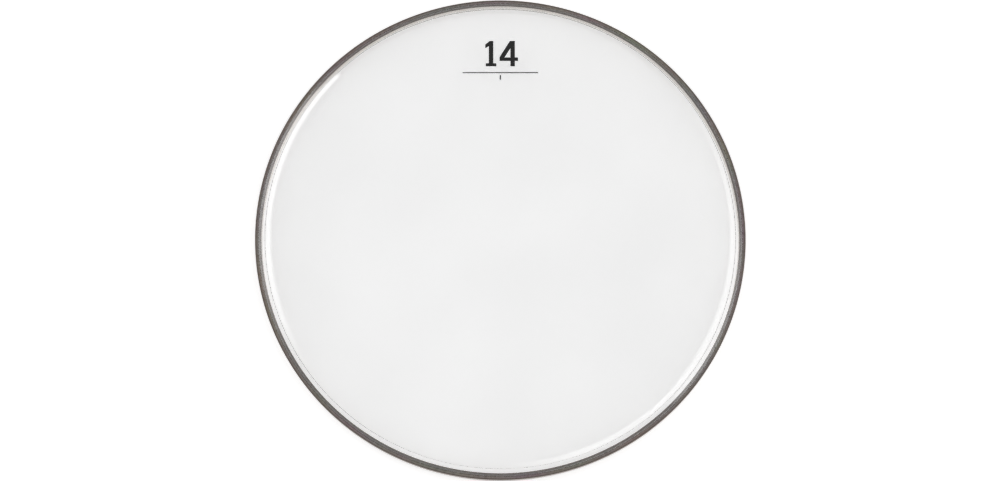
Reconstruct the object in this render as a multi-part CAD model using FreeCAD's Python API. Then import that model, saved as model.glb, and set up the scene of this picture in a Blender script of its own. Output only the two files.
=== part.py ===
import FreeCAD, Part

import math
import os

# Clear two-ply drum head, playing side up.
# Two nested polyester caps hang down into a rolled aluminium channel, the flesh hoop.
# Resin cast in the channel runs under their cut edges and through their holes, and so locks them in.
# Millimetres and degrees. Origin on the head's axis, at the plane the hoop stands on. +Z is up.

# Flesh hoop
hoop_outer_d = 365.0
hoop_width = 4.9
hoop_height = 9.5
hoop_wall = 0.9
hoop_corner_r = 1.4
lip_edge_r = 0.2
joint_gap = 0.3
joint_angle = 319.0

# Film, measured on the top face of the upper ply
ply_thickness = 0.19
ply_gap = 0.02
collar_rise = 5.5
collar_reach = 10.95
bend_r = 3.5
crease_reach = 5.0
crease_width = 0.5
crease_slope = 64.0
crease_r = 0.6
flare_slope = 13.0
shoulder_r = 1.2
shoulder_drop = 0.6
skirt_floor_gap = 1.3

# Holes punched through the skirt of both plies
hole_d = 3.2
hole_count = 36
hole_edge_gap = 1.4

# Resin, measured down from the tops of the hoop's legs
resin_recess = 0.5
resin_sag = 0.25

# Spare length of every cutter past what it cuts
overrun = 1.0

# Places that follow from the sizes above
axis_z = FreeCAD.Vector(0, 0, 1)
hoop_outer_r = hoop_outer_d / 2
hoop_inner_r = hoop_outer_r - hoop_width
channel_outer_r = hoop_outer_r - hoop_wall
channel_inner_r = hoop_inner_r + hoop_wall
channel_mid_r = (channel_outer_r + channel_inner_r) / 2
channel_corner_r = hoop_corner_r - hoop_wall
stack_thickness = 2 * ply_thickness + ply_gap
skirt_r = channel_mid_r + stack_thickness / 2
skirt_edge_z = hoop_wall + skirt_floor_gap
shoulder_z = hoop_height - shoulder_drop
flat_r = skirt_r - collar_reach
crease_foot_r = skirt_r - crease_reach
flat_z = hoop_height + collar_rise
hole_z = skirt_edge_z + hole_edge_gap + hole_d / 2
resin_z = hoop_height - resin_recess


def at(r, z):
    """A point of a section, at radius r and height z."""
    return FreeCAD.Vector(r, 0, z)


def leaning(angle):
    """The unit normal, up and outwards, of film that falls outwards at this angle from level."""
    return at(math.sin(math.radians(angle)), math.cos(math.radians(angle)))


def bend_edge(centre, radius, first, last):
    """An arc about centre between the normals of two slopes. A negative radius curves the other way."""
    normals = [leaning(first), leaning((first + last) / 2), leaning(last)]
    return Part.Arc(*[centre + normal * radius for normal in normals]).toShape()


def up_slope(point, slope, inwards):
    """The point reached from another by going inwards, and so up, along film of this slope."""
    return point + at(-inwards, inwards * math.tan(math.radians(slope)))


def tangent_slope(centre, radius, point):
    """The slope of the straight run that leaves an arc and ends at a point further out."""
    reach = point - centre
    return math.degrees(math.atan2(reach.x, reach.z) - math.acos(radius / reach.Length))


def rounding_centre(corner, radius, first, last):
    """The centre of the arc that rounds a corner between two slopes, or a hollow one if radius is negative."""
    first_normal = leaning(first)
    last_normal = leaning(last)
    return corner - (first_normal + last_normal) * (radius / (1 + first_normal.dot(last_normal)))


def film_line(depth):
    """The film's section at this depth under its top face, from the axis out and down to the cut edge.

    The flare rises inwards from the shoulder to the foot of a narrow, steeper crease, and the collar's wall
    is the straight run from the bend to the top of that crease."""
    bend_centre = at(flat_r, flat_z - bend_r)
    shoulder_centre = at(skirt_r - shoulder_r, shoulder_z)
    flare_end = shoulder_centre + leaning(flare_slope) * shoulder_r
    crease_foot = up_slope(flare_end, flare_slope, flare_end.x - crease_foot_r)
    crease_top = up_slope(crease_foot, crease_slope, crease_width)
    wall_slope = tangent_slope(bend_centre, bend_r, crease_top)
    crest_centre = rounding_centre(crease_top, crease_r, wall_slope, crease_slope)
    foot_centre = rounding_centre(crease_foot, -crease_r, crease_slope, flare_slope)
    arcs = [
        bend_edge(bend_centre, bend_r - depth, 0, wall_slope),
        bend_edge(crest_centre, crease_r - depth, wall_slope, crease_slope),
        bend_edge(foot_centre, -crease_r - depth, crease_slope, flare_slope),
        bend_edge(shoulder_centre, shoulder_r - depth, flare_slope, 90),
    ]
    starts = [at(0, flat_z - depth)] + [arc.lastVertex().Point for arc in arcs]
    ends = [arc.firstVertex().Point for arc in arcs] + [at(skirt_r - depth, skirt_edge_z)]
    straights = [Part.makeLine(start, end) for start, end in zip(starts, ends)]
    return [edge for pair in zip(straights, arcs) for edge in pair] + straights[-1:]


def turned(wire):
    """The solid of revolution of a closed section."""
    return Part.Face(wire).revolve(FreeCAD.Vector(), axis_z, 360)


def film_cap(top_depth, bottom_depth):
    """A cap of film between two depths, before its holes are punched."""
    top_line = film_line(top_depth)
    bottom_line = film_line(bottom_depth)
    on_axis = Part.makeLine(at(0, flat_z - top_depth), at(0, flat_z - bottom_depth))
    cut_edge = Part.makeLine(at(skirt_r - top_depth, skirt_edge_z), at(skirt_r - bottom_depth, skirt_edge_z))
    edges = top_line + [cut_edge] + bottom_line + [on_axis]
    return turned(Part.Wire(Part.__sortEdges__(edges)))


def punches():
    """The punches of all the skirt's holes, one half pitch away from the X axis."""
    pitch = 360 / hole_count
    start = at(skirt_r - stack_thickness - overrun, hole_z)
    punch = Part.makeCylinder(hole_d / 2, stack_thickness + 2 * overrun, start, FreeCAD.Vector(1, 0, 0))
    return Part.makeCompound(
        [punch.rotated(FreeCAD.Vector(), axis_z, pitch * (place + 1 / 2)) for place in range(hole_count)]
    )


def rounded_wire(corners):
    """A closed section through corners given as radius, height and the rounding of that corner."""
    points = [at(r, z) for r, z, rounding in corners]
    edges = []
    for place, point in enumerate(points):
        before = (points[place - 1] - point).normalize()
        after = (points[(place + 1) % len(points)] - point).normalize()
        rounding = corners[place][2]
        centre = point + (before + after) * rounding
        middle = centre - (before + after).normalize() * rounding
        arc = Part.Arc(point + before * rounding, middle, point + after * rounding)
        edges.append(arc.toShape())
    straights = [
        Part.makeLine(edges[place - 1].lastVertex().Point, edges[place].firstVertex().Point)
        for place in range(len(edges))
    ]
    return Part.Wire(Part.__sortEdges__(edges + straights))


def flesh_hoop():
    """The channel ring: two legs on a base with rolled corners, and a saw cut where its ends butt."""
    section = rounded_wire(
        [
            (hoop_outer_r, 0, hoop_corner_r),
            (hoop_outer_r, hoop_height, lip_edge_r),
            (channel_outer_r, hoop_height, lip_edge_r),
            (channel_outer_r, hoop_wall, channel_corner_r),
            (channel_inner_r, hoop_wall, channel_corner_r),
            (channel_inner_r, hoop_height, lip_edge_r),
            (hoop_inner_r, hoop_height, lip_edge_r),
            (hoop_inner_r, 0, hoop_corner_r),
        ]
    )
    corner = FreeCAD.Vector(hoop_inner_r - overrun, -joint_gap / 2, -overrun)
    saw = Part.makeBox(hoop_width + 2 * overrun, joint_gap, hoop_height + 2 * overrun, corner)
    return turned(section).cut(saw.rotated(FreeCAD.Vector(), axis_z, joint_angle))


def resin_fill():
    """The cast ring: the channel filled to a dished top, less the space of the punched film."""
    floor_z = hoop_wall + channel_corner_r
    outer_corner = bend_edge(at(channel_outer_r - channel_corner_r, floor_z), channel_corner_r, 90, 180)
    inner_corner = bend_edge(at(channel_inner_r + channel_corner_r, floor_z), channel_corner_r, 180, 270)
    outer_lip = at(channel_outer_r, resin_z)
    inner_lip = at(channel_inner_r, resin_z)
    dished_top = Part.Arc(inner_lip, at(channel_mid_r, resin_z - resin_sag), outer_lip).toShape()
    edges = [
        dished_top,
        Part.makeLine(outer_lip, outer_corner.firstVertex().Point),
        outer_corner,
        Part.makeLine(outer_corner.lastVertex().Point, inner_corner.firstVertex().Point),
        inner_corner,
        Part.makeLine(inner_corner.lastVertex().Point, inner_lip),
    ]
    ring = turned(Part.Wire(Part.__sortEdges__(edges)))
    return ring.cut(film_cap(0, stack_thickness).cut(punches()))


upper_ply = film_cap(0, ply_thickness).cut(punches())
lower_ply = film_cap(ply_thickness + ply_gap, stack_thickness).cut(punches())

nodes = {
    "upper_ply": upper_ply,
    "lower_ply": lower_ply,
    "flesh_hoop": flesh_hoop(),
    "resin_fill": resin_fill(),
}

os.makedirs("parts", exist_ok=True)
for name, shape in nodes.items():
    for solid in shape.Solids:
        box = solid.optimalBoundingBox(False, False)
        print(
            name,
            "valid" if solid.isValid() else "INVALID",
            f"{solid.Volume:.1f} mm3, {len(solid.Faces)} faces,",
            f"z {box.ZMin:.2f} to {box.ZMax:.2f}, x {box.XMin:.2f} to {box.XMax:.2f}",
        )
    shape.exportStep(f"parts/{name}.step")
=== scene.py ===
import math

import bmesh
import bpy
import numpy as np
from mathutils import Matrix, Vector


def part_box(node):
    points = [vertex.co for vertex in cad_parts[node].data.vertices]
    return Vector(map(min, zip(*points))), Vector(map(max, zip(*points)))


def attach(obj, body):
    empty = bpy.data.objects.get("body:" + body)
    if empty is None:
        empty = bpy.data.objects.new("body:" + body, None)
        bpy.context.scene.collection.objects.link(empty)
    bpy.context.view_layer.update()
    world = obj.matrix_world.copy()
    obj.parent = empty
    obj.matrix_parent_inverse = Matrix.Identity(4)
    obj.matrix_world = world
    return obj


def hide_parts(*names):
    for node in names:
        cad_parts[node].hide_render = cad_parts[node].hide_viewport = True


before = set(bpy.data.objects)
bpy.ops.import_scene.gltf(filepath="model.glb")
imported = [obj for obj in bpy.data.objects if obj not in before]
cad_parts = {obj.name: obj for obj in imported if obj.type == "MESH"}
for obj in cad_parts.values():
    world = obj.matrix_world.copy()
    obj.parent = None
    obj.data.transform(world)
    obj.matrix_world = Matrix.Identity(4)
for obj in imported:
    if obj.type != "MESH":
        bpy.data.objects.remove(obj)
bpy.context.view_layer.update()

# A clear two-ply drum head lying playing side up: two formed caps of polyester film, cast in resin into a
# rolled aluminium channel, with a size figure printed on the film. Each piece stands for one CAD node.
# Metres and degrees. Origin on the head's axis at the plane the hoop stands on, +Z up, +Y towards the print.

MM = 0.001

# Sizes that the frame gives
hoop_outer_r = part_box("flesh_hoop")[1].x
hoop_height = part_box("flesh_hoop")[1].z
skirt_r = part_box("upper_ply")[1].x
skirt_edge_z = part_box("upper_ply")[0].z
flat_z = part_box("upper_ply")[1].z
channel_outer_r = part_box("resin_fill")[1].x
hoop_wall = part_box("resin_fill")[0].z
resin_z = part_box("resin_fill")[1].z

# Flesh hoop
hoop_width = 4.9 * MM
hoop_corner_r = 1.4 * MM
lip_edge_r = 0.2 * MM
joint_gap = 0.3 * MM
joint_angle = 319.0
hoop_inner_r = hoop_outer_r - hoop_width
channel_inner_r = hoop_inner_r + hoop_wall
channel_mid_r = (channel_inner_r + channel_outer_r) / 2
channel_corner_r = hoop_corner_r - hoop_wall

# Film, measured on the top face of the upper ply
ply_thickness = 0.19 * MM
ply_gap = 0.02 * MM
collar_reach = 10.95 * MM
bend_r = 3.5 * MM
crease_reach = 5.0 * MM
crease_width = 0.5 * MM
crease_slope = 64.0
crease_r = 0.6 * MM
flare_slope = 13.0
shoulder_r = 1.2 * MM
shoulder_drop = 0.6 * MM
stack_thickness = 2 * ply_thickness + ply_gap
flat_r = skirt_r - collar_reach
shoulder_z = hoop_height - shoulder_drop

# Holes punched through the skirt of both plies
hole_r = 1.6 * MM
hole_count = 36
hole_edge_gap = 1.4 * MM
hole_z = skirt_edge_z + hole_edge_gap + hole_r

# Resin: how far its top is dished, how high and how far out it creeps up the film, and the height of its
# waves, each given as a number of waves round the ring and a phase in radians
resin_sag = 0.25 * MM
resin_creep = 0.18 * MM
resin_creep_reach = 0.3 * MM
resin_ripple = 0.05 * MM
resin_waves = [(5, 0.7), (11, 2.1), (17, 4.0)]

# Print: the size in inches over a rule with a tick at its middle. Outlines in millimetres from the middle
# of the rule, the last one the opening in the four.
ink_coat = 0.012 * MM
print_y = 123.5 * MM
print_outlines = [
    [(-28.5, -0.4), (28.5, -0.4), (28.5, 0.4), (-28.5, 0.4)],
    [(-0.5, -5.5), (0.5, -5.5), (0.5, -1.8), (-0.5, -1.8)],
    [(-11, 5), (-3, 5), (-3, 7.4), (-5.3, 7.4), (-5.3, 25), (-8, 25)]
    + [(-11.4, 22.2), (-11.4, 19.2), (-8.7, 20.8), (-8.7, 7.4), (-11, 7.4)],
    [(7.6, 5), (11, 5), (11, 9.2), (13.4, 9.2), (13.4, 12), (11, 12)]
    + [(11, 25), (7.2, 25), (-0.6, 12.2), (-0.6, 9.2), (7.6, 9.2)],
    [(3.2, 12), (7.6, 12), (7.6, 19.2)],
]

# Steps of the meshes: hoop and resin are finer round than the film, which has one step per degree
round_steps = 720
film_steps = 360
flat_rings = 16
bend_steps = 24
crease_steps = 6
shoulder_steps = 12
corner_steps = 8
resin_steps = 48
hole_rings = 4
hole_side_steps = 4
merge_distance = 0.001 * MM
sharp_angle = 50.0

# Studio: a floor just under the hoop, the paper's own light that brings it to white, the room's light at the
# horizon and overhead, and the rise, as a sine, over which the one goes into the other
floor_size = 60.0
floor_z = -0.02 * MM
paper_lift = 0.55
room_horizon = 0.35
room_overhead = 0.55
room_blend_rise = 0.3

# Camera, fitted to the hoop's outline in a picture 1000 pixels wide
picture_width_px = 1000
focal_px = 2153.0
sensor_width_mm = 36.0
camera_azimuth = -90.0
camera_elevation = 77.8
camera_distance = 1.6
camera_aim = Vector((-0.25 * MM, -4.8 * MM, 10.0 * MM))


def arc(centre_r, centre_z, radius, first, last, steps):
    """Section points on an arc: the centre plus the radius times the normals of slopes from first to last,
    where film that falls outwards at slope s has the normal (sin s, cos s)."""
    slope = np.radians(np.linspace(first, last, steps + 1))
    return np.stack([centre_r + radius * np.sin(slope), centre_z + radius * np.cos(slope)], axis=-1)


def rounding_centre(corner, first, last, radius):
    """The centre of the arc that rounds a corner between two slopes: the corner less the sum of their normals
    times the radius over one plus the normals' dot product. A negative radius rounds a hollow corner."""
    normals = arc(0, 0, 1, first, last, 1)
    return corner - normals.sum(axis=0) * radius / (1 + normals[0] @ normals[1])


def film_line(depth):
    """The film's section at this depth under its top face, from the axis to the top of the skirt: level out
    to the bend, then the arcs of bend, crease and shoulder, with straight runs between them. The wall is the
    tangent from the bend to the top of the crease."""
    bend_centre = np.array([flat_r, flat_z - bend_r])
    shoulder_centre = np.array([skirt_r - shoulder_r, shoulder_z])
    flare_end = shoulder_centre + arc(0, 0, shoulder_r, flare_slope, flare_slope, 0)[0]
    flare_run = flare_end[0] - skirt_r + crease_reach
    crease_foot = flare_end + flare_run * np.array([-1, math.tan(math.radians(flare_slope))])
    crease_top = crease_foot + crease_width * np.array([-1, math.tan(math.radians(crease_slope))])
    across, down = crease_top - bend_centre
    wall_slope = math.degrees(math.atan2(across, down) - math.acos(bend_r / math.hypot(across, down)))
    crest_centre = rounding_centre(crease_top, wall_slope, crease_slope, crease_r)
    foot_centre = rounding_centre(crease_foot, crease_slope, flare_slope, -crease_r)
    flat = np.stack([np.linspace(0, flat_r, flat_rings), np.full(flat_rings, flat_z - depth)], axis=-1)
    bend = arc(*bend_centre, bend_r - depth, 0, wall_slope, bend_steps)
    crest = arc(*crest_centre, crease_r - depth, wall_slope, crease_slope, crease_steps)
    foot = arc(*foot_centre, -crease_r - depth, crease_slope, flare_slope, crease_steps)
    shoulder = arc(*shoulder_centre, shoulder_r - depth, flare_slope, 90, shoulder_steps)
    return np.concatenate([flat[:-1], bend, crest, foot, shoulder])


def carried_round(section, angles):
    """A section of radii and heights carried round the axis: at angle a, x is r cos a and y is r sin a."""
    r, z = section[..., 0], section[..., 1]
    a = np.radians(angles)[:, None]
    return np.stack(np.broadcast_arrays(r * np.cos(a), r * np.sin(a), z), axis=-1)


def punched_skirt(face_r):
    """One face of the skirt as a cell per hole. Each cell is ruled from the hole's rim, at equal fractions,
    out to the cell's rectangle, along rays from the hole's middle, and is bent round to the face's radius."""
    cell_steps = film_steps // hole_count
    half_width = math.pi * face_r / hole_count
    along = np.linspace(-half_width, half_width, cell_steps + 1)
    up = np.linspace(skirt_edge_z, shoulder_z, hole_side_steps + 1)
    right = np.stack([np.full_like(up, half_width), up], axis=-1)
    top = np.stack([along[::-1], np.full_like(along, shoulder_z)], axis=-1)
    left = np.stack([np.full_like(up, -half_width), up[::-1]], axis=-1)
    bottom = np.stack([along, np.full_like(along, skirt_edge_z)], axis=-1)
    edge = np.concatenate([right, top[1:], left[1:], bottom[1:]])
    ray = np.arctan2(edge[:, 1] - hole_z, edge[:, 0])
    rim = np.stack([hole_r * np.cos(ray), hole_z + hole_r * np.sin(ray)], axis=-1)
    fraction = np.linspace(0, 1, hole_rings + 1)[:, None, None]
    cell = rim + fraction * (edge - rim)
    middles = np.arange(hole_count) + 0.5
    angle = middles[:, None, None] * 2 * math.pi / hole_count + cell[..., 0] / face_r
    height = np.broadcast_to(cell[..., 1], angle.shape)
    return np.stack([face_r * np.cos(angle), face_r * np.sin(angle), height], axis=-1)


def piece(name, patches, material, node, strips=None):
    """A mesh of patches, each a grid of points, whose quads face the way that the cross product of down the
    rows and along the columns points. Points that coincide are merged, which closes seams and poles. Strips,
    where given, are the patches' UV grids, in metres along and across the strip that the piece is made of."""
    counts = np.cumsum([0] + [patch.shape[0] * patch.shape[1] for patch in patches])
    quads = []
    for patch, first in zip(patches, counts):
        grid = first + np.arange(patch.shape[0] * patch.shape[1]).reshape(patch.shape[:2])
        corners = [grid[:-1, :-1], grid[1:, :-1], grid[1:, 1:], grid[:-1, 1:]]
        quads.append(np.stack(corners, axis=-1).reshape(-1, 4))
    quads = np.concatenate(quads)
    points = np.concatenate([patch.reshape(-1, 3) for patch in patches])
    mesh = bpy.data.meshes.new(name)
    mesh.from_pydata(points.tolist(), [], quads.tolist())
    if strips:
        places = np.concatenate([strip.reshape(-1, 2) for strip in strips])
        mesh.uv_layers.new(name="strip").uv.foreach_set("vector", places[quads].ravel())
    return dressed(name, mesh, material, node)


def dressed(name, mesh, material, node=None):
    """The object of a mesh with its doubles merged, smooth between sharp edges, riding on the head."""
    merged = bmesh.new()
    merged.from_mesh(mesh)
    bmesh.ops.remove_doubles(merged, verts=merged.verts, dist=merge_distance)
    merged.to_mesh(mesh)
    merged.free()
    mesh.shade_smooth()
    mesh.set_sharp_from_angle(angle=math.radians(sharp_angle))
    mesh.materials.append(material)
    dressed_object = bpy.data.objects.new(name, mesh)
    bpy.context.scene.collection.objects.link(dressed_object)
    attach(dressed_object, "root")
    if node:
        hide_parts(node)
    return dressed_object


def film_cap(name, top_depth, bottom_depth, material, node):
    """A closed cap of film: underside and top carried round, a punched skirt on either side, the walls of
    the holes and the cut edge."""
    angles = np.linspace(0, 360, film_steps + 1)
    outer = punched_skirt(skirt_r - top_depth)
    inner = punched_skirt(skirt_r - bottom_depth)
    edge = np.array([[skirt_r - bottom_depth, skirt_edge_z], [skirt_r - top_depth, skirt_edge_z]])
    patches = [
        carried_round(film_line(bottom_depth), angles),
        carried_round(film_line(top_depth)[::-1], angles),
        carried_round(edge, angles),
    ]
    patches += list(outer)
    patches += list(inner[:, ::-1])
    patches += list(np.stack([inner[:, 0], outer[:, 0]], axis=1))
    return piece(name, patches, material, node)


def channel_hoop(material):
    """The channel ring, from one side of its saw cut round to the other. The section goes round eight
    corners, each an arc about a centre set in from the corner by its rounding along both sides. The cut
    ends are ruled between the outside of the section and the channel."""
    corners = np.array(
        [
            [hoop_inner_r, 0],
            [hoop_outer_r, 0],
            [hoop_outer_r, hoop_height],
            [channel_outer_r, hoop_height],
            [channel_outer_r, hoop_wall],
            [channel_inner_r, hoop_wall],
            [channel_inner_r, hoop_height],
            [hoop_inner_r, hoop_height],
        ]
    )
    base = [hoop_corner_r] * 2
    lip = [lip_edge_r] * 2
    floor = [channel_corner_r] * 2
    rounding = np.array(base + lip + floor + lip)[:, None]
    before = np.roll(corners, 1, axis=0) - corners
    after = np.roll(corners, -1, axis=0) - corners
    before /= np.linalg.norm(before, axis=1, keepdims=True)
    after /= np.linalg.norm(after, axis=1, keepdims=True)
    centre = corners + rounding * (before + after)
    turn = np.linspace(0, math.pi / 2, corner_steps + 1)[None, :, None]
    sides = after[:, None] * np.cos(turn) + before[:, None] * np.sin(turn)
    arcs = centre[:, None] - rounding[:, None] * sides
    section = np.concatenate([arcs.reshape(-1, 2), arcs[0, :1]])
    # The outside has the last corner and the first three, and the channel those between them
    outside = np.concatenate([arcs[-1], *arcs[:3]])
    channel = arcs[3:-1].reshape(-1, 2)[::-1]
    half_cut = math.degrees(joint_gap / 2 / channel_mid_r)
    angles = np.linspace(joint_angle + half_cut, joint_angle + 360 - half_cut, round_steps + 1)
    first_end = np.stack([carried_round(line, angles[:1])[0] for line in (channel, outside)])
    last_end = np.stack([carried_round(line, angles[-1:])[0] for line in (outside, channel)])
    patches = [carried_round(section, angles), first_end, last_end]
    across = np.concatenate([[0], np.cumsum(np.linalg.norm(np.diff(section, axis=0), axis=1))])
    along = np.radians(angles) * channel_mid_r
    strips = [np.stack(np.meshgrid(along, across, indexing="ij"), axis=-1)]
    strips += [np.stack([channel, outside]), np.stack([outside, channel])]
    return piece("channel_hoop", patches, material, "flesh_hoop", strips)


def cast_resin(material):
    """The cast ring. Its top is a shallow parabola between the legs, which creeps up the film on both sides
    by an exponential of the distance from it, with the mean of a few slow sine waves round the ring."""
    across = np.linspace(1, -1, resin_steps + 1)
    top_r = channel_mid_r + across * (channel_outer_r - channel_inner_r) / 2
    from_film = np.abs(top_r - channel_mid_r) - stack_thickness / 2
    creep = resin_creep * np.exp(-np.maximum(from_film, 0) / resin_creep_reach)
    angles = np.linspace(0, 360, round_steps + 1)
    turns = np.radians(angles)[:, None]
    ripple = sum(np.sin(count * turns + phase) for count, phase in resin_waves) / len(resin_waves)
    top_z = resin_z + creep + (resin_ripple * ripple - resin_sag) * (1 - across**2)
    corner_z = hoop_wall + channel_corner_r
    outer_corner = arc(channel_outer_r - channel_corner_r, corner_z, channel_corner_r, 180, 90, corner_steps)
    inner_corner = arc(channel_inner_r + channel_corner_r, corner_z, channel_corner_r, 270, 180, corner_steps)
    below = np.concatenate([inner_corner, outer_corner])
    top = np.stack(np.broadcast_arrays(top_r, top_z), axis=-1)
    below_all_round = np.broadcast_to(below, (len(angles), *below.shape))
    section = np.concatenate([below_all_round, top, below_all_round[:, :1]], axis=1)
    return piece("cast_resin", [carried_round(section, angles)], material, "resin_fill")


def size_figure(material):
    """The print, one coat of ink on the film's flat: its outlines filled as one flat shape, with the four's
    opening left clear, and raised by the coat."""
    shape = bpy.data.curves.new("print", "CURVE")
    shape.dimensions = "2D"
    shape.fill_mode = "BOTH"
    shape.extrude = ink_coat / 2
    for outline in print_outlines:
        spline = shape.splines.new("POLY")
        spline.points.add(len(outline) - 1)
        flat = [(x * MM, y * MM, 0, 1) for x, y in outline]
        spline.points.foreach_set("co", np.array(flat).ravel())
        spline.use_cyclic_u = True
    carrier = bpy.data.objects.new("print", shape)
    bpy.context.scene.collection.objects.link(carrier)
    bpy.context.view_layer.update()
    mesh = bpy.data.meshes.new_from_object(carrier.evaluated_get(bpy.context.evaluated_depsgraph_get()))
    bpy.data.objects.remove(carrier)
    mesh.transform(Matrix.Translation((0, print_y, flat_z - ink_coat / 2)))
    return dressed("size_figure", mesh, material)


def linear(code):
    """Linear RGBA of an sRGB hex colour: ((c + 0.055) / 1.055) to the power 2.4, or c / 12.92 where dark."""
    c = np.array([int(code[place : place + 2], 16) for place in (1, 3, 5)]) / 255
    return (*np.where(c > 0.04045, ((c + 0.055) / 1.055) ** 2.4, c / 12.92), 1.0)


def add(tree, kind, values=(), links=(), **settings):
    """Adds a node of a kind, with its settings, its inputs' values and links from other nodes' outputs."""
    node = tree.nodes.new(kind)
    for setting, value in settings.items():
        setattr(node, setting, value)
    for socket, value in dict(values).items():
        node.inputs[socket].default_value = value
    for socket, output in dict(links).items():
        tree.links.new(output, node.inputs[socket])
    return node


def new_material(name):
    """An empty node material and its output node."""
    material = bpy.data.materials.new(name)
    material.use_nodes = True
    tree = material.node_tree
    tree.nodes.clear()
    return material, tree, add(tree, "ShaderNodeOutputMaterial")


def polyester_film():
    """Biaxially stretched clear polyester. Mirror smooth and colourless, with a slow waviness left from
    forming that bends what it mirrors, and a trace of haze in patches where it was handled."""
    material, tree, output = new_material("clear_polyester_film")
    place = add(tree, "ShaderNodeTexCoord").outputs["Object"]
    wave_length = 45 * MM
    wave_height = 0.02 * MM
    haze_patch = 70 * MM
    waves = add(tree, "ShaderNodeTexNoise", {"Scale": 1 / wave_length, "Detail": 1.0}, {"Vector": place})
    bump = add(
        tree,
        "ShaderNodeBump",
        {"Strength": 1.0, "Distance": wave_height},
        {"Height": waves.outputs["Fac"]},
    )
    haze = add(tree, "ShaderNodeTexNoise", {"Scale": 1 / haze_patch, "Detail": 4.0}, {"Vector": place})
    roughness = add(
        tree,
        "ShaderNodeMapRange",
        {"From Min": 0.35, "From Max": 0.75, "To Min": 0.0, "To Max": 0.035},
        {"Value": haze.outputs["Fac"]},
    )
    tint = add(
        tree,
        "ShaderNodeMix",
        {"A": linear("#FEFEFE"), "B": linear("#F9F9F9")},
        {"Factor": haze.outputs["Fac"]},
        data_type="RGBA",
    )
    film = add(
        tree,
        "ShaderNodeBsdfPrincipled",
        {"IOR": 1.57, "Transmission Weight": 1.0},
        {
            "Base Color": tint.outputs["Result"],
            "Roughness": roughness.outputs["Result"],
            "Normal": bump.outputs["Normal"],
        },
    )
    clear = add(tree, "ShaderNodeBsdfTransparent", {"Color": linear("#FBFBFB")})
    path = add(tree, "ShaderNodeLightPath")
    mix = add(
        tree,
        "ShaderNodeMixShader",
        {},
        {0: path.outputs["Is Shadow Ray"], 1: film.outputs["BSDF"], 2: clear.outputs["BSDF"]},
    )
    tree.links.new(mix.outputs["Shader"], output.inputs["Surface"])
    return material


def mill_aluminium():
    """Roll-formed aluminium strip with its mill finish. Pale satin grey, drawn out along the strip in fine
    rolling lines, cloudy from handling, and darker brown along the lips. The outside is painted the same
    brown as painted shade, standing for the shaded floor by its foot that it mirrors."""
    material, tree, output = new_material("mill_finish_aluminium")
    coords = add(tree, "ShaderNodeTexCoord")
    cloud_size = 9 * MM
    line_length = 25 * MM
    # True rolling lines are about 0.02 mm apart: drawn ten times as coarse, so that they show
    line_spacing = 0.2 * MM
    line_height = 0.004 * MM
    # How far down from the top the lips turn darker brown
    darker_lip_depth = 0.45 * MM
    place = coords.outputs["Object"]
    cloud = add(tree, "ShaderNodeTexNoise", {"Scale": 1 / cloud_size, "Detail": 5.0}, {"Vector": place})
    drawn = add(
        tree,
        "ShaderNodeMapping",
        {"Scale": (1 / line_length, 1 / line_spacing, 1.0)},
        {"Vector": coords.outputs["UV"]},
    )
    strip = drawn.outputs["Vector"]
    lines = add(tree, "ShaderNodeTexNoise", {"Scale": 1.0, "Detail": 3.0}, {"Vector": strip})
    patchy = add(
        tree,
        "ShaderNodeMix",
        {"A": linear("#E4DFDA"), "B": linear("#CCC5BF")},
        {"Factor": cloud.outputs["Fac"]},
        data_type="RGBA",
    )
    streaks = add(
        tree,
        "ShaderNodeMapRange",
        {"From Min": 0.5, "From Max": 0.75},
        {"Value": lines.outputs["Fac"]},
    )
    clean = add(
        tree,
        "ShaderNodeMix",
        {"B": linear("#B9B1AB")},
        {"Factor": streaks.outputs["Result"], "A": patchy.outputs["Result"]},
        data_type="RGBA",
    )
    height = add(tree, "ShaderNodeSeparateXYZ", {}, {"Vector": place})
    near_lip = add(
        tree,
        "ShaderNodeMapRange",
        {"From Min": hoop_height - darker_lip_depth, "From Max": hoop_height - lip_edge_r / 2},
        {"Value": height.outputs["Z"]},
    )
    level = add(tree, "ShaderNodeVectorMath", {1: (1, 1, 0)}, {0: place}, operation="MULTIPLY")
    radius = add(tree, "ShaderNodeVectorMath", {}, {0: level.outputs["Vector"]}, operation="LENGTH")
    # Painted shade: the outside is painted darker brown, standing for the shaded floor by the hoop's foot
    # that the outer wall mirrors
    outside = add(
        tree,
        "ShaderNodeMapRange",
        {"From Min": hoop_outer_r - hoop_corner_r, "From Max": hoop_outer_r - lip_edge_r},
        {"Value": radius.outputs["Value"]},
    )
    # The darker lips and the painted shade down the outside, whichever is the more
    darker_lips_and_painted_shade = add(
        tree,
        "ShaderNodeMath",
        {},
        {0: near_lip.outputs["Result"], 1: outside.outputs["Result"]},
        operation="MAXIMUM",
    )
    # 8A7F78 is the darker brown of the lips and of the painted shade on the outside
    colour = add(
        tree,
        "ShaderNodeMix",
        {"B": linear("#8A7F78")},
        {"Factor": darker_lips_and_painted_shade.outputs["Value"], "A": clean.outputs["Result"]},
        data_type="RGBA",
    )
    roughness = add(
        tree,
        "ShaderNodeMapRange",
        {"From Min": 0.3, "From Max": 0.7, "To Min": 0.18, "To Max": 0.34},
        {"Value": lines.outputs["Fac"]},
    )
    bump = add(
        tree,
        "ShaderNodeBump",
        {"Strength": 1.0, "Distance": line_height},
        {"Height": lines.outputs["Fac"]},
    )
    metal = add(
        tree,
        "ShaderNodeBsdfPrincipled",
        {"Metallic": 1.0},
        {
            "Base Color": colour.outputs["Result"],
            "Roughness": roughness.outputs["Result"],
            "Normal": bump.outputs["Normal"],
        },
    )
    tree.links.new(metal.outputs["BSDF"], output.inputs["Surface"])
    return material


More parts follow.
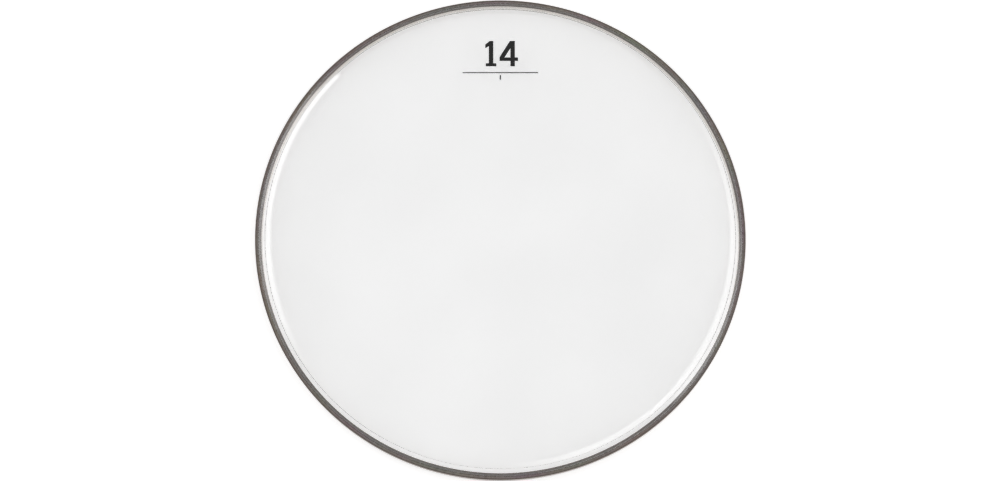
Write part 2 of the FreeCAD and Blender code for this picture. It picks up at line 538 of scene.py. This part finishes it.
def grey_epoxy():
    """Filled epoxy, poured and left to set. Brownish grey, mottled by its filler and paler or darker from one
    pour to the next, satin where it wets, with the small pits of bubbles that burst."""
    material, tree, output = new_material("cast_grey_epoxy")
    place = add(tree, "ShaderNodeTexCoord").outputs["Object"]
    mottle_size = 3 * MM
    pour_size = 40 * MM
    bubble_spacing = 1.6 * MM
    bubble_depth = 0.08 * MM
    mottle = add(tree, "ShaderNodeTexNoise", {"Scale": 1 / mottle_size, "Detail": 4.0}, {"Vector": place})
    pour = add(tree, "ShaderNodeTexNoise", {"Scale": 1 / pour_size, "Detail": 2.0}, {"Vector": place})
    filler = add(
        tree,
        "ShaderNodeMix",
        {"A": linear("#7C716C"), "B": linear("#A1958F")},
        {"Factor": mottle.outputs["Fac"]},
        data_type="RGBA",
    )
    colour = add(
        tree,
        "ShaderNodeMix",
        {"Factor": 0.35},
        {"A": filler.outputs["Result"], "B": pour.outputs["Color"]},
        data_type="RGBA",
        blend_type="SOFT_LIGHT",
    )
    roughness = add(
        tree,
        "ShaderNodeMapRange",
        {"From Min": 0.3, "From Max": 0.7, "To Min": 0.2, "To Max": 0.36},
        {"Value": mottle.outputs["Fac"]},
    )
    bubbles = add(tree, "ShaderNodeTexVoronoi", {"Scale": 1 / bubble_spacing}, {"Vector": place})
    pits = add(
        tree,
        "ShaderNodeMapRange",
        {"From Min": 0.05, "From Max": 0.2},
        {"Value": bubbles.outputs["Distance"]},
        interpolation_type="SMOOTHSTEP",
    )
    bump = add(
        tree,
        "ShaderNodeBump",
        {"Strength": 1.0, "Distance": bubble_depth},
        {"Height": pits.outputs["Result"]},
    )
    epoxy = add(
        tree,
        "ShaderNodeBsdfPrincipled",
        {"IOR": 1.55},
        {
            "Base Color": colour.outputs["Result"],
            "Roughness": roughness.outputs["Result"],
            "Normal": bump.outputs["Normal"],
        },
    )
    tree.links.new(epoxy.outputs["BSDF"], output.inputs["Surface"])
    return material


def black_ink():
    """Screen-printed black ink. Matte and dense, a little greyer where the coat is thin, with the weave of
    the screen left in it."""
    material, tree, output = new_material("black_screen_ink")
    place = add(tree, "ShaderNodeTexCoord").outputs["Object"]
    thin_patch = 1.5 * MM
    # A true screen has a thread every 0.1 mm: drawn three times as coarse, so that it shows
    thread_pitch = 0.3 * MM
    weave_depth = 0.004 * MM
    coat = add(tree, "ShaderNodeTexNoise", {"Scale": 1 / thin_patch, "Detail": 3.0}, {"Vector": place})
    colour = add(
        tree,
        "ShaderNodeMix",
        {"A": linear("#101010"), "B": linear("#242424")},
        {"Factor": coat.outputs["Fac"]},
        data_type="RGBA",
    )
    roughness = add(
        tree,
        "ShaderNodeMapRange",
        {"From Min": 0.3, "From Max": 0.7, "To Min": 0.45, "To Max": 0.65},
        {"Value": coat.outputs["Fac"]},
    )
    weave = add(
        tree,
        "ShaderNodeTexVoronoi",
        {"Scale": 1 / thread_pitch, "Randomness": 0.0},
        {"Vector": place},
        voronoi_dimensions="2D",
    )
    bump = add(
        tree,
        "ShaderNodeBump",
        {"Strength": 1.0, "Distance": weave_depth},
        {"Height": weave.outputs["Distance"]},
    )
    ink = add(
        tree,
        "ShaderNodeBsdfPrincipled",
        {},
        {
            "Base Color": colour.outputs["Result"],
            "Roughness": roughness.outputs["Result"],
            "Normal": bump.outputs["Normal"],
        },
    )
    tree.links.new(ink.outputs["BSDF"], output.inputs["Surface"])
    return material


def white_paper():
    """White paper under the head: matte white, with the last step to white added for what looks at it. It is
    clear from below, so that the head's underside can be seen."""
    material, tree, output = new_material("white_paper")
    paper = add(tree, "ShaderNodeBsdfDiffuse", {"Color": linear("#FBFBFB")})
    path = add(tree, "ShaderNodeLightPath")
    seen = path.outputs["Is Camera Ray"]
    for kind in ("Is Glossy Ray", "Is Transmission Ray"):
        either = add(tree, "ShaderNodeMath", {}, {0: seen, 1: path.outputs[kind]}, operation="MAXIMUM")
        seen = either.outputs["Value"]
    lift = add(tree, "ShaderNodeMath", {1: paper_lift}, {0: seen}, operation="MULTIPLY")
    glow = add(tree, "ShaderNodeEmission", {}, {"Strength": lift.outputs["Value"]})
    white = add(tree, "ShaderNodeAddShader", {}, {0: paper.outputs["BSDF"], 1: glow.outputs["Emission"]})
    clear = add(tree, "ShaderNodeBsdfTransparent")
    below = add(tree, "ShaderNodeNewGeometry").outputs["Backfacing"]
    sided = add(
        tree,
        "ShaderNodeMixShader",
        {},
        {0: below, 1: white.outputs["Shader"], 2: clear.outputs["BSDF"]},
    )
    tree.links.new(sided.outputs["Shader"], output.inputs["Surface"])
    return material


def direction(azimuth, elevation):
    """The unit vector at an angle round from +X and an angle above the floor."""
    a, e = math.radians(azimuth), math.radians(elevation)
    return Vector((math.cos(a) * math.cos(e), math.sin(a) * math.cos(e), math.sin(e)))


def softbox(name, azimuth, distance, low, high, width, brightness, rise, fall):
    """An upright lamp between two heights, facing the head's axis. Its watts are pi times its brightness
    times its area, where brightness 1 shows as white. Going round anticlockwise, it comes up over the share
    rise of its width and goes down over the share fall."""
    lamp = bpy.data.lights.new(name, "AREA")
    lamp.shape = "RECTANGLE"
    lamp.size = width
    lamp.size_y = high - low
    lamp.energy = math.pi * brightness * width * (high - low)
    lamp.use_nodes = True
    tree = lamp.node_tree
    tree.nodes.clear()
    place = add(tree, "ShaderNodeNewGeometry").outputs["Parametric"]
    across = add(tree, "ShaderNodeSeparateXYZ", {}, {"Vector": place}).outputs["X"]
    ends = []
    for dark, full in ((0.0, rise), (1.0, 1.0 - fall)):
        end = add(
            tree,
            "ShaderNodeMapRange",
            {"From Min": dark, "From Max": full},
            {"Value": across},
            interpolation_type="SMOOTHSTEP",
        )
        ends.append(end.outputs["Result"])
    level = add(tree, "ShaderNodeMath", {}, {0: ends[0], 1: ends[1]}, operation="MULTIPLY")
    glow = add(tree, "ShaderNodeEmission", {}, {"Strength": level.outputs["Value"]})
    add(tree, "ShaderNodeOutputLight", {}, {"Surface": glow.outputs["Emission"]})
    holder = bpy.data.objects.new(name, lamp)
    holder.location = direction(azimuth, 0) * distance + Vector((0, 0, (low + high) / 2))
    holder.rotation_mode = "QUATERNION"
    holder.rotation_quaternion = (-direction(azimuth, 0)).to_track_quat("-Z", "Y")
    holder.visible_camera = False
    bpy.context.scene.collection.objects.link(holder)


def studio():
    """Paper floor, a grey room that is a little darker at the horizon, and the softboxes."""
    half = floor_size / 2
    floor_mesh = bpy.data.meshes.new("floor")
    corners = [(-half, -half, floor_z), (half, -half, floor_z), (half, half, floor_z), (-half, half, floor_z)]
    floor_mesh.from_pydata(corners, [], [(0, 1, 2, 3)])
    floor_mesh.materials.append(white_paper())
    floor = bpy.data.objects.new("floor", floor_mesh)
    bpy.context.scene.collection.objects.link(floor)

    world = bpy.data.worlds.new("room")
    bpy.context.scene.world = world
    world.use_nodes = True
    tree = world.node_tree
    tree.nodes.clear()
    look = add(tree, "ShaderNodeTexCoord")
    height = add(tree, "ShaderNodeSeparateXYZ", {}, {"Vector": look.outputs["Generated"]})
    level = add(
        tree,
        "ShaderNodeMapRange",
        {"From Min": 0.0, "From Max": room_blend_rise, "To Min": room_horizon, "To Max": room_overhead},
        {"Value": height.outputs["Z"]},
    )
    sky = add(tree, "ShaderNodeBackground", {}, {"Strength": level.outputs["Result"]})
    add(tree, "ShaderNodeOutputWorld", {}, {"Surface": sky.outputs["Background"]})

    softbox("left_low", 168, 1.3, low=0.09, high=0.75, width=2.3, brightness=1.25, rise=0.03, fall=0.45)
    softbox("left_high", 160, 1.3, low=1.2, high=2.5, width=1.7, brightness=0.75, rise=0.1, fall=0.4)
    softbox("right_low", 8, 1.28, low=0.07, high=0.85, width=3.2, brightness=1.0, rise=0.03, fall=0.6)
    softbox("right_high", 0, 1.28, low=1.15, high=2.6, width=1.5, brightness=0.75, rise=0.1, fall=0.5)
    softbox("front_low", 293, 1.4, low=0.05, high=0.95, width=1.32, brightness=0.8, rise=0.6, fall=0.03)


def camera():
    """The camera, aimed at the head from the photograph's side, with the lens that its scale gives."""
    lens = bpy.data.cameras.new("camera")
    lens.sensor_width = sensor_width_mm
    lens.lens = sensor_width_mm * focal_px / picture_width_px
    holder = bpy.data.objects.new("camera", lens)
    away = direction(camera_azimuth, camera_elevation)
    holder.location = camera_aim + away * camera_distance
    holder.rotation_mode = "QUATERNION"
    holder.rotation_quaternion = (-away).to_track_quat("-Z", "Y")
    bpy.context.scene.collection.objects.link(holder)
    bpy.context.scene.camera = holder


film = polyester_film()
film_cap("upper_film", ink_coat, ply_thickness, film, "upper_ply")
film_cap("lower_film", ply_thickness + ply_gap, stack_thickness, film, "lower_ply")
channel_hoop(mill_aluminium())
cast_resin(grey_epoxy())
size_figure(black_ink())
studio()
camera()
bpy.context.scene.view_settings.view_transform = "Standard"
